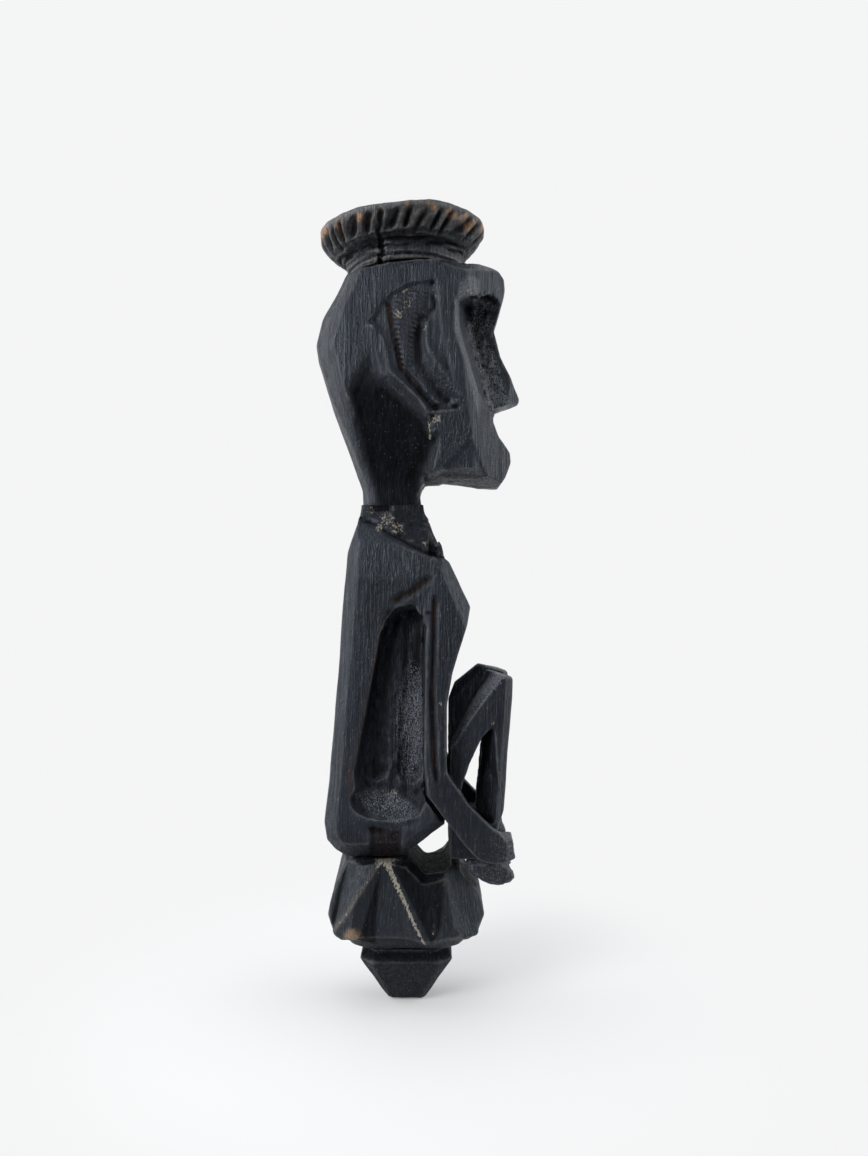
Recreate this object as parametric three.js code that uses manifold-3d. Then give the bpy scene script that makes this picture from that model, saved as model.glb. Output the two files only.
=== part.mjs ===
// A carved wooden figurine: a seated figure that hugs its drawn-up knees, on a faceted stool with a
// cut knob below it. Millimetres, +Z up, the face towards -Y, the figure's right hand towards -X.
// The origin is the centre of the knob's flat foot.
//
// Outlines are drawn in side view as [forward, up]: forward is the way the face looks, so it is -Y.
// Each member is cut from such an outline and then trimmed with flat knife cuts, as a carver would.

import * as THREE from "three";
import { mergeVertices } from "three/addons/utils/BufferGeometryUtils.js";
import { ConvexGeometry } from "three/addons/geometries/ConvexGeometry.js";
import Module from "manifold-3d";

const wasm = await Module();
wasm.setup();

// ---- driving dimensions -------------------------------------------------------------------------

const GAP = 0.3; // between two members that touch

const KNOB_TOP = 14;
const STOOL_TOP = 36.5;
const TORSO_FLOOR = STOOL_TOP + GAP;
const NECK_SPLIT = 121; // the head's block starts here
const HAT_SEAT = 179.2; // height of the headdress's underside on the figure's axis
const HAT_HEIGHT = 11.2;
const HAT_TILT = 0.07; // radians, front edge up

const SHOULDER_HALF = 16; // half-widths, from the middle of the figure
const NECK_HALF = 7.5;
const HEAD_HALF = 14.5;
const STOOL_HALF = 15.5;
const KNOB_HALF = 10;

const ARM_INNER = 10.2; // inner face of the upper arm
const FOREARM_INNER = 11.9;
const LEG_OUTER = 11.5;
const LEG_INNER = 3.6;

// ---- colours ------------------------------------------------------------------------------------

const stain = (name, color, roughness) =>
  new THREE.MeshStandardMaterial({ name, color, roughness, metalness: 0 });
const BLACK_STAIN = stain("black_stain", 0x1b1c20, 0.5);
const HAT_STAIN = stain("hat_stain", 0x211d1b, 0.6);
const STOOL_STAIN = stain("stool_stain", 0x1a1b1f, 0.55);

// ---- solids -------------------------------------------------------------------------------------

// A closed geometry as a solid.
function solid(geometry) {
  const bare = geometry.clone();
  bare.deleteAttribute("normal");
  bare.deleteAttribute("uv");
  const merged = mergeVertices(bare, 1e-4);
  return new wasm.Manifold(
    new wasm.Mesh({
      numProp: 3,
      vertProperties: new Float32Array(merged.attributes.position.array),
      triVerts: new Uint32Array(merged.index.array),
    }),
  );
}

// A solid as a three.js geometry.
function geometryOf(made) {
  const mesh = made.getMesh();
  const geometry = new THREE.BufferGeometry();
  geometry.setAttribute("position", new THREE.BufferAttribute(mesh.vertProperties, 3));
  geometry.setIndex(new THREE.BufferAttribute(mesh.triVerts, 1));
  geometry.computeVertexNormals();
  return geometry;
}

const flat = (points) => new THREE.Shape(points.map(([a, b]) => new THREE.Vector2(a, b)));

// A point given as [across, forward, up].
const at = ([across, forward, up]) => new THREE.Vector3(across, -forward, up);

// A side-view outline made solid from across = low to across = high, its edges bevelled.
function sideBlock(outline, low, high, bevel = 0) {
  const geometry = new THREE.ExtrudeGeometry(flat(outline), {
    depth: high - low - 2 * bevel,
    steps: 1,
    bevelEnabled: bevel > 0,
    bevelThickness: bevel,
    bevelSize: bevel,
    bevelOffset: -bevel,
    bevelSegments: 1,
  });
  const turn = new THREE.Matrix4().makeBasis(
    new THREE.Vector3(0, -1, 0),
    new THREE.Vector3(0, 0, 1),
    new THREE.Vector3(-1, 0, 0),
  );
  geometry.applyMatrix4(turn);
  geometry.translate(high - bevel, 0, 0);
  return solid(geometry);
}

// A front-view outline, [across, up], made solid right through the figure.
function frontBlock(outline) {
  const reach = 40;
  const geometry = new THREE.ExtrudeGeometry(flat(outline), {
    depth: 2 * reach,
    steps: 1,
    bevelEnabled: false,
  });
  geometry.rotateX(Math.PI / 2);
  geometry.translate(0, reach, 0);
  return solid(geometry);
}

// The hull of points given as [across, forward, up].
const hull = (points) => solid(new ConvexGeometry(points.map(at)));

// What one flat knife cut takes away: all that lies beyond the plane through three points, on the
// side away from the point that is kept.
function knife(a, b, c, kept) {
  const reach = 300;
  const plane = new THREE.Plane().setFromCoplanarPoints(at(a), at(b), at(c));
  if (plane.distanceToPoint(at(kept)) > 0) plane.negate();
  const box = new THREE.BoxGeometry(reach, reach, reach);
  box.translate(0, 0, reach / 2);
  box.applyQuaternion(
    new THREE.Quaternion().setFromUnitVectors(new THREE.Vector3(0, 0, 1), plane.normal),
  );
  box.translate(...at(a).toArray());
  return solid(box);
}

const mirrorPoints = (points) => points.map(([across, up]) => [-across, up]).reverse();
const bothSides = (half) => [...half, ...mirrorPoints(half)];
const mirrored = ([across, forward, up]) => [-across, forward, up];

// The same knife cut on the right (-1) and on the left (+1).
function twinKnife(block, a, b, c, kept) {
  const right = block.subtract(knife(a, b, c, kept));
  return right.subtract(knife(mirrored(a), mirrored(b), mirrored(c), mirrored(kept)));
}

// ---- the members --------------------------------------------------------------------------------

// An eight-sided ring at one height: half length along the figure, half width across it, and how
// much of each corner is cut away.
function octagon(up, halfLength, halfWidth, cut, forward = 0) {
  const ring = [];
  for (const [sx, sy] of [[1, 1], [1, -1], [-1, -1], [-1, 1]]) {
    ring.push([sx * halfWidth, forward + sy * (halfLength - cut), up]);
    ring.push([sx * (halfWidth - cut), forward + sy * halfLength, up]);
  }
  return ring;
}

function baseKnob() {
  const widest = 11.4;
  return hull([
    ...octagon(0, 4.8, 4.2, 1.2),
    ...octagon(widest, 11.7, KNOB_HALF, 3),
    ...octagon(KNOB_TOP, 10.4, KNOB_HALF - 1.6, 3),
  ]);
}

function stool() {
  const profile = [
    [-16, STOOL_TOP],
    [-18, 28.5],
    [-19.2, 22.5],
    [-17.9, 18.2],
    [-13, 15.6],
    [-8, KNOB_TOP + GAP],
    [8, KNOB_TOP + GAP],
    [13, 15.6],
    [17.8, 18.2],
    [19.2, 22.5],
    [18.2, 28],
    [14, 32.6],
    [10.9, STOOL_TOP],
    [9.2, 33.2],
    [4.6, 32.6],
    [0.8, STOOL_TOP],
  ];
  let block = sideBlock(profile, -STOOL_HALF, STOOL_HALF);
  block = block.intersect(
    frontBlock(
      bothSides([
        [-12.8, STOOL_TOP],
        [-STOOL_HALF, 21],
        [-STOOL_HALF + 0.6, 18],
        [-9, KNOB_TOP + GAP],
      ]),
    ),
  );
  // The four upright corners, cut off at a slant.
  block = twinKnife(block, [-STOOL_HALF, -13, 21], [-9, -20, 21], [-12.4, -11, STOOL_TOP], [0, 0, 25]);
  return twinKnife(block, [-STOOL_HALF, 12.5, 21], [-8.5, 20, 21], [-12.4, 9.5, STOOL_TOP], [0, 0, 25]);
}

// The deep recess between the back and one arm: its mouth, and the smaller floor inside it.
function flankRecess(side) {
  const mouth = [
    [2.2, 98.5],
    [-2.4, 97.5],
    [-5, 94],
    [-8.2, 80],
    [-12.4, 58],
    [-11.8, 51],
    [-8.6, 47.2],
    [-2.5, 45.4],
    [2.6, 46.6],
    [4.9, 51],
    [4.6, 60],
    [4.6, 90],
  ];
  const floor = [
    [2, 94.5],
    [-1.5, 94],
    [-3.6, 90],
    [-6.2, 78],
    [-9.8, 60],
    [-9.6, 55],
    [-6.8, 52.6],
    [-2, 51.6],
    [2.4, 52.4],
    [4.2, 55],
    [4.2, 62],
    [4, 88],
  ];
  const outside = SHOULDER_HALF + 1;
  const deep = 10.6;
  return hull([
    ...mouth.map(([forward, up]) => [side * outside, forward, up]),
    ...floor.map(([forward, up]) => [side * deep, forward, up]),
  ]);
}

// The side outline of one arm, from the collar down to the hand, with an allowance all round.
function armOutline(clearance) {
  const c = clearance;
  return [
    [6.9 - c, 118],
    [6.4 - c, 103],
    [4.9 - c, 95],
    [4.5 - c, 88],
    [4.3 - c, 60],
    [5.2 - c, 52.5 - c],
    [8 - c, 48.6 - c],
    [13 - c, 41.8 - c],
    [17 - c, 37.2 - c],
    [20.2, 36.2 - c],
    [24 + c, 36.2 - c],
    [25.2 + c, 40.4],
    [22.6 + c, 43.8],
    [20.4, 45.2 + c],
    [15 + c, 50.8 + c],
    [10 + c, 58.2 + c],
    [9.9 + c, 74],
    [11.2 + c, 81.5],
    [14.8 + c, 92.8],
    [15.6 + c, 97],
    [13 + c, 102.5],
    [10.4 + c, 108],
    [8 + c, 118],
  ];
}

// The slope from the collar line up to the neck, as knife cuts on both sides.
function collarCuts(block) {
  const sloped = twinKnife(
    block,
    [-15.6, -7.2, 115.6],
    [-15.6, 5.2, 108.6],
    [-NECK_HALF, 4.3, 121.6],
    [0, 0, 90],
  );
  return twinKnife(sloped, [-15.6, 3, 109.4], [-15.6, 12, 107.2], [-NECK_HALF, 4.6, 121], [0, 0, 90]);
}

function torso() {
  const profile = [
    [4.3, NECK_SPLIT - GAP],
    [-11.1, NECK_SPLIT - GAP],
    [-12, 116],
    [-14, 110],
    [-14.9, 100],
    [-16.3, 80],
    [-18.4, 56],
    [-19.6, 46],
    [-18.9, 41.6],
    [-14.4, TORSO_FLOOR],
    [-1.6, TORSO_FLOOR],
    [4.4, 41.6],
    [9.8, 45.4],
    [9.9, 60],
    [9.2, 72],
    [9.6, 81],
    [11.4, 90],
    [13.2, 97],
    [12, 102],
    [9.2, 109.6],
    [5.4, 117.6],
  ];
  let block = sideBlock(profile, -SHOULDER_HALF, SHOULDER_HALF, 3.4);
  block = block.intersect(
    frontBlock(
      bothSides([
        [-NECK_HALF, NECK_SPLIT],
        [-11, 118.6],
        [-15, 112],
        [-SHOULDER_HALF, 104],
        [-15.4, 75],
        [-SHOULDER_HALF, 48],
        [-15.8, 41.4],
        [-9.6, TORSO_FLOOR],
      ]),
    ),
  );
  block = collarCuts(block);
  for (const side of [-1, 1]) {
    block = block.subtract(flankRecess(side));
    const [low, high] = side < 0 ? [-20, -ARM_INNER + GAP] : [ARM_INNER - GAP, 20];
    block = block.subtract(sideBlock(armOutline(GAP), low, high));
  }
  return block;
}

// One arm lies flat against the flank, bends at the elbow and reaches round the shin to the hand.
function arm(side) {
  const span = (outer, inner) => (side < 0 ? [-outer, -inner] : [inner, outer]);
  let block = sideBlock(armOutline(0), ...span(SHOULDER_HALF, ARM_INNER));
  const elbow = 56;
  // Below the elbow the inner face steps out so that the forearm passes outside the leg.
  block = block.subtract(
    sideBlock([[9.6, elbow + 3], [40, elbow + 3], [40, 20], [0, 20], [0, 46]], ...span(FOREARM_INNER, 0)),
  );
  // The right hand lies on the front of its shin. The left hand is drawn in a little behind it.
  const knuckles = side < 0 ? 26.5 : 25.3;
  const hand = hull([
    [side * 14, 19.8, 36.4],
    [side * 14, 24, 36.4],
    [side * 14, 22.4, 42.4],
    [side * 12.2, 20.2, 42.6],
    [side * 12.2, 19.8, 36.4],
    [side * 12.2, knuckles - 0.2, 37],
    [side * 12.2, knuckles - 0.6, 41.8],
    [side * 0.4, knuckles, 37.2],
    [side * 0.4, knuckles - 0.2, 41],
    [side * 0.4, 22.6, 37.2],
    [side * 0.4, 22.6, 41],
    [side * LEG_OUTER, 22.6, 36.8],
    [side * LEG_OUTER, 22.6, 42],
  ]);
  block = block.add(hand.subtract(legBlock(side, GAP)));
  // The outer face leans in from the elbow to the wrist, and the collar slope crosses its top.
  const kept = [side * 10, 12, 60];
  block = block.subtract(
    knife([side * SHOULDER_HALF, 7, 56], [side * SHOULDER_HALF, 11, 60], [side * 14, 24, 38], kept),
  );
  block = block.subtract(
    knife([side * 13.2, 15, 97], [side * 13, 11, 107], [side * SHOULDER_HALF, 12.8, 96], kept),
  );
  return collarCuts(block);
}

// The outer block of one leg, before its window is cut: thigh, knee, shin and hip.
function legBlock(side, clearance = 0) {
  const c = clearance;
  const back = side < 0
    ? [[19.6, 81.8], [15, 73], [10.2, 63.4]]
    : [[18, 82.2], [11.8, 77.4], [10.2, 73]];
  const outline = [
    ...back.map(([forward, up]) => [forward - c, up + c]),
    [10.2 - c, STOOL_TOP + GAP],
    [21.6 + c, STOOL_TOP + GAP],
    [22.3 + c, 43.6],
    [23.8 + c, 48],
    [24.7 + c, 62],
    [25.8 + c, 75],
    [25.9 + c, 80 + c],
  ];
  const [low, high] = side < 0 ? [-LEG_OUTER - c, -LEG_INNER + c] : [LEG_INNER - c, LEG_OUTER + c];
  const block = sideBlock(outline, low, high);
  if (clearance > 0) return block;
  // The thigh's upper edge and the two edges of the shin are cut back to slanting faces.
  const kept = [side * 7, 22, 60];
  const outer = side * LEG_OUTER;
  const inner = side * LEG_INNER;
  const thighCut = side < 0
    ? knife([outer, 13.4, 67.4], [outer, 22.1, 79.8], [side * 6, 16.4, 76.2], kept)
    : knife([outer, 13.4, 70], [outer, 22.1, 80.2], [side * 6, 11.4, 76.4], kept);
  return block
    .subtract(thighCut)
    .subtract(knife([outer, 23, 62], [outer, 22, 46], [side * 9.6, 25, 62], kept))
    .subtract(knife([inner, 23.6, 62], [inner, 22.6, 46], [side * 4.8, 25, 62], kept));
}

// A leg is open between the thigh and the shin. The opening is wider on the inner side.
function leg(side) {
  const outer = [
    [21.2, 68.6],
    [18.4, 65.4],
    [15.2, 58.4],
    [13.4, 52.6],
    [13.2, 45.4],
    [21.6, 45.4],
    [22.3, 52],
  ];
  const inner = [
    [17.8, 64.6],
    [16.2, 62],
    [14, 57],
    [12.6, 52],
    [12.4, 44.8],
    [15.8, 44.8],
    [16.6, 56],
  ];
  const window = hull([
    ...outer.map(([forward, up]) => [side * (LEG_OUTER + 0.5), forward, up]),
    ...inner.map(([forward, up]) => [side * (LEG_INNER - 0.5), forward, up]),
  ]);
  return legBlock(side).subtract(window);
}

function foot(side) {
  const top = STOOL_TOP;
  const outline = [
    [14.6, top],
    [14.6, 33.4],
    [18.4, 30.9],
    [22.4, 29.7],
    [25.2, 29.9],
    [26.7, 31.4],
    [25.2, 33.8],
    [22.2, top],
  ];
  const [low, high] = side < 0 ? [-11, -2.4] : [2.4, 11];
  return sideBlock(outline, low, high, 1).subtract(
    knife([side * 11, 19, 30], [side * 11, 19, 36], [side * 8.5, 27, 30], [side * 5, 20, 32]),
  );
}

// The height of the sloping seam between head and headdress.
const seamHeight = (forward) => HAT_SEAT + Math.sin(HAT_TILT) * forward;

function head() {
  const profile = [
    [3.9, NECK_SPLIT],
    [3.5, 124.4],
    [4.2, 126.4],
    [9.4, 126.8],
    [18, 125.8],
    [22.7, 125.8],
    [24.4, 128.4],
    [25.9, 132.2],
    [25.7, 134.8],
    [22.9, 138.2],
    [21.4, 141.6],
    [21.6, 145],
    [27.9, 147],
    [28.3, 148.2],
    [25.4, 154.6],
    [23.4, 158.6],
    [21.9, 165.2],
    [23.2, 169.4],
    [24.4, 174],
    [24.2, 177],
    [22, 179.6],
    [17.6, 180.9],
    [14, seamHeight(14) - GAP],
    [-14.9, seamHeight(-14.9) - GAP],
    [-17.2, 173.4],
    [-20.9, 166.6],
    [-22.4, 160.6],
    [-21.8, 156.6],
    [-18.6, 146],
    [-14.7, 135.2],
    [-11.2, 125.4],
    [-11.1, NECK_SPLIT],
  ];
  let block = sideBlock(profile, -HEAD_HALF, HEAD_HALF);
  block = block.intersect(
    frontBlock(
      bothSides([
        [-13.4, 184],
        [-HEAD_HALF, 172],
        [-HEAD_HALF, 152],
        [-12.6, 136],
        [-11, 120],
      ]),
    ),
  );
  for (const side of [-1, 1]) {
    block = block.subtract(neckHollow(side)).subtract(faceHollow(side));
    // The slanting facets down the back of the skull and the neck.
    block = block.subtract(
      knife([side * HEAD_HALF, -18.4, 158], [side * HEAD_HALF, -11.4, 180], [side * 10.4, -22.4, 158], [0, 0, 160]),
    );
    block = block.subtract(
      knife([side * HEAD_HALF, -18.2, 157], [side * 13.2, -11.6, 137], [side * 10.4, -22.3, 157], [0, 0, 150]),
    );
    block = block.subtract(
      knife([side * 13, -13.4, 141], [side * NECK_HALF, -8.8, 124], [side * 8, -17.4, 141], [0, 0, 150]),
    );
    // The forehead is rounded off towards the temple.
    block = block.subtract(
      knife([side * HEAD_HALF, 14, 165], [side * HEAD_HALF, 14, 178], [side * 5, 24.4, 172], [0, 0, 160]),
    );
    block = block.subtract(
      knife([side * HEAD_HALF, 10, 177.6], [side * HEAD_HALF, 20, 174.4], [side * 5, 18, 181], [0, 0, 160]),
    );
    block = block.subtract(jawHollow(side));
  }
  return block;
}

// The wood taken away beside the neck, behind the jaw.
const neckHollow = (side) =>
  hull([
    [side * 18, 8, 138],
    [side * 18, -8.5, 148.5],
    [side * 18, -30, 146],
    [side * 18, -30, NECK_SPLIT - 1],
    [side * 18, 4.6, NECK_SPLIT - 1],
    [side * 14.6, -8.5, 148.5],
    [side * 13.8, -22, 147],
    [side * 13, 7.8, 137.6],
    [side * 8.2, 4.4, 126],
    [side * NECK_HALF, 4.4, NECK_SPLIT - 1],
    [side * NECK_HALF, -15, NECK_SPLIT - 1],
    [side * 8.4, -14, 127],
  ]);

// The wood taken away below the jaw, which leaves a blunt keel in the middle.
const jawHollow = (side) =>
  hull([
    [side * 1.6, 30, 125.5],
    [side * 1.6, 4.6, 126.7],
    [side * 16, 30, 129.4],
    [side * 16, 4.6, 130.6],
    [side * 1.6, 30, NECK_SPLIT - 1],
    [side * 1.6, 4.6, NECK_SPLIT - 1],
    [side * 16, 30, NECK_SPLIT - 1],
    [side * 16, 4.6, NECK_SPLIT - 1],
  ]);

// The hollow cheek and eye socket beside the nose, inside the bevelled rim of the face.
const faceHollow = (side) =>
  hull([
    [side * 3, 23.5, 166],
    [side * 3.4, 40, 166],
    [side * 14, 40, 172],
    [side * 4.6, 40, 142],
    [side * 3, 15, 170],
    [side * 2.6, 17, 163],
    [side * 5, 21.4, 146],
    [side * 5.4, 24, 138],
    [side * 10.8, 15.4, 171],
    [side * 10.6, 15.2, 162],
    [side * 9.6, 18.6, 149],
    [side * 8.4, 22.2, 141],
    [side * 16, 11.6, 169],
    [side * 16, 12, 160],
    [side * 16, 15.4, 148],
    [side * 14, 21.6, 136.8],
    [side * 14, 25.6, 134],
    [side * 16, 40, 134],
    [side * 16, 40, 168],
  ]);

function headdress() {
  const half = [
    [0, 0],
    [13.6, 0],
    [14.3, 1.8],
    [15.8, 3.6],
    [18.2, 5.4],
    [20.2, 7.8],
    [21.1, 9.9],
    [20.3, HAT_HEIGHT],
    [18.6, HAT_HEIGHT - 0.5],
    [10, HAT_HEIGHT - 1.7],
    [0, HAT_HEIGHT - 2.1],
  ];
  const turned = new THREE.LatheGeometry(
    half.map(([radius, up]) => new THREE.Vector2(radius, up)),
    40,
  );
  turned.rotateX(Math.PI / 2);
  turned.rotateX(-HAT_TILT);
  turned.translate(0, 0.4, HAT_SEAT);
  return solid(turned);
}

// ---- the assembly -------------------------------------------------------------------------------

const figurine = new THREE.Group();

function member(name, made, material) {
  const mesh = new THREE.Mesh(geometryOf(made), material);
  mesh.name = name;
  figurine.add(mesh);
}

member("base_knob", baseKnob(), STOOL_STAIN);
member("stool", stool(), STOOL_STAIN);
member("torso", torso(), BLACK_STAIN);
member("head", head(), BLACK_STAIN);
member("headdress", headdress(), HAT_STAIN);
for (const [label, side] of [["right", -1], ["left", 1]]) {
  member(`${label}_arm`, arm(side), BLACK_STAIN);
  member(`${label}_leg`, leg(side), BLACK_STAIN);
  member(`${label}_foot`, foot(side), BLACK_STAIN);
}

export default figurine;
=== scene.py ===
"""A black-stained wooden carving of a seated figure that hugs its knees, on a faceted stool.

Every member of the CAD frame becomes wood that has been worked by hand. Its solid is turned into
a level set, knife and gouge cuts are made in that, and the result is meshed again. Small tool
marks follow as displacement, and worn edges with painted highlights, dirt with painted shade,
bare wood and painted sparkle as attributes that the wood material reads. Lengths inside the
helpers are millimetres: x across the figure (its right hand at -x), f forward (the way the face
looks, -Y) and z up. Only the final meshes are in metres.
"""

import itertools
import math

import bpy
import numpy as np
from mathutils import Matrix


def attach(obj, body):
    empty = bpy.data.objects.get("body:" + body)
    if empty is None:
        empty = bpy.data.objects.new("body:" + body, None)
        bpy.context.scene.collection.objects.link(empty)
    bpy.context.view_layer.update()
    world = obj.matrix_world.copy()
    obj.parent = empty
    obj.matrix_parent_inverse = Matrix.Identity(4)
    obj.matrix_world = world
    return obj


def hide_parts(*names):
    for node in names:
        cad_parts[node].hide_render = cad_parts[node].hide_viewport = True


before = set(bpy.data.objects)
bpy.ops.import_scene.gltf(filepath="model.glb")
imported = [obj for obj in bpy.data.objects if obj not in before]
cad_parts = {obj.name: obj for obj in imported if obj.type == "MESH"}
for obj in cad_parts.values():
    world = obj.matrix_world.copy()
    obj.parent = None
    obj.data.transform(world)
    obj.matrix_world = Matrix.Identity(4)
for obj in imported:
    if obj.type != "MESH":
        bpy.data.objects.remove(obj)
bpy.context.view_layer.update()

import openvdb as vdb
from mathutils import Vector

MM = 0.001

# Lines and outlines in side view, as (f, z), that the torso and the arms share.
COLLAR_LINE = [(-9.5, 117.6), (-7.1, 116.4), (-3.6, 114.1), (1.6, 111.3), (5.8, 109.2), (12.5, 108.2)]
SHOULDER_GROOVE = [(5.2, 103.4), (2.6, 101), (-2.2, 98.4)]
SHOULDER_SEAM = [(6.9, 112), (6.7, 109.4), (6.2, 104), (4.9, 98.2), (4.9, 93.4)]
COLLAR_SLOPE = [
    (-12, 121), (-10.5, 117.4), (-7.1, 116.4), (-3.6, 114.1), (1.6, 111.3), (5.8, 109.2),
    (12.5, 108.2), (8, 117), (4.6, 123), (-11, 123),
]
ARM_GROOVE = [(6.9, 99.5), (6.6, 88), (6.3, 76.5), (6.7, 61.5), (7.3, 56)]
# Cream chips on the collar slope, as (f, z, radius).
COLLAR_CHIPS = [
    (-8.6, 120.2, 1.6), (-4.6, 118.0, 2.8), (-2.0, 115.6, 2.2), (-6.4, 115.6, 1.4), (4.4, 112.0, 1.0),
]
# The shoulder's half-width, and how fast it narrows with height above the shoulder's top.
SHOULDER_SURFACE = 15.7
SHOULDER_TOP = 109.0
COLLAR_FALL = 0.66


# ---- smooth shapes on arrays --------------------------------------------------------------------


def step(low, high, value):
    """0 below low, 1 above high, smooth between. low may be the larger one."""
    t = np.clip((value - low) / (high - low), 0.0, 1.0)
    return t * t * (3.0 - 2.0 * t)


def bump(distance, width):
    """1 at distance 0, 0 from width on."""
    return 1.0 - step(0.0, width, np.abs(distance))


def smooth_max(a, b, soft):
    """max(a, b) with its corner rounded over soft."""
    if soft <= 0.0:
        return np.maximum(a, b)
    return np.maximum(a, b) + np.maximum(soft - np.abs(a - b), 0.0) ** 2 / (4.0 * soft)


def segment(u, v, start, end):
    """Distance in the plane to the segment from start to end."""
    du = end[0] - start[0]
    dv = end[1] - start[1]
    t = np.clip(((u - start[0]) * du + (v - start[1]) * dv) / (du * du + dv * dv), 0.0, 1.0)
    return np.hypot(u - start[0] - t * du, v - start[1] - t * dv)


def line(u, v, points):
    """Distance in the plane to a chain of segments."""
    found = segment(u, v, points[0], points[1])
    for start, end in zip(points[1:-1], points[2:]):
        found = np.minimum(found, segment(u, v, start, end))
    return found


def area(u, v, points):
    """Signed distance in the plane to a closed outline, negative inside."""
    found = line(u, v, points + points[:1])
    inside = np.zeros(np.broadcast(u, v).shape, bool)
    for (au, av), (bu, bv) in zip(points, points[1:] + points[:1]):
        crosses = (av > v) != (bv > v)
        at = au + (v - av) * (bu - au) / ((bv - av) or 1e-9)
        inside ^= crosses & (u < at)
    return np.where(inside, -found, found)


# ---- noise --------------------------------------------------------------------------------------


def lattice(i, j, k, seed):
    """A number from 0 to 1 for each lattice point, the same at every run."""
    h = (i * 374761393 + j * 668265263 + k * 2147483647 + seed * 1274126177) & 0xFFFFFFFF
    h = ((h ^ (h >> 13)) * 1103515245 + 12345) & 0xFFFFFFFF
    h = ((h ^ (h >> 16)) * 2246822519) & 0xFFFFFFFF
    return ((h ^ (h >> 15)) & 0xFFFFFF) / float(0xFFFFFF)


def noise(points, seed):
    """Smooth noise from -1 to 1 at points, one bump per unit length."""
    base = np.floor(points).astype(np.int64)
    t = points - base
    t = t * t * (3.0 - 2.0 * t)
    total = 0.0
    for corner in itertools.product((0, 1), repeat=3):
        weight = np.where(corner, t, 1 - t).prod(axis=1)
        total = total + weight * lattice(*(base + corner).T, seed)
    return total * 2.0 - 1.0


def rough(points, seed, octaves=3):
    """Noise with finer noise on top."""
    total = 0.0
    for o in range(octaves):
        total = total + noise(points * 2.0**o, seed + 31 * o) * 0.5**o
    return total


def scallops(points, seed):
    """0 in the middle of each gouge stroke, rising to about 1 at the ridges between strokes."""
    base = np.floor(points).astype(np.int64)
    nearest = np.full(len(points), 9.0)
    second = np.full(len(points), 9.0)
    for offset in itertools.product((-1, 0, 1), repeat=3):
        cell = base + offset
        centre = cell + np.stack([lattice(*cell.T, seed + n) for n in range(3)], axis=1)
        away = ((points - centre) ** 2).sum(axis=1)
        second = np.minimum(second, np.maximum(nearest, away))
        nearest = np.minimum(nearest, away)
    return np.clip(nearest - 0.35 * second + 0.2, 0.0, 1.2)


# ---- carving ------------------------------------------------------------------------------------


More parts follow.
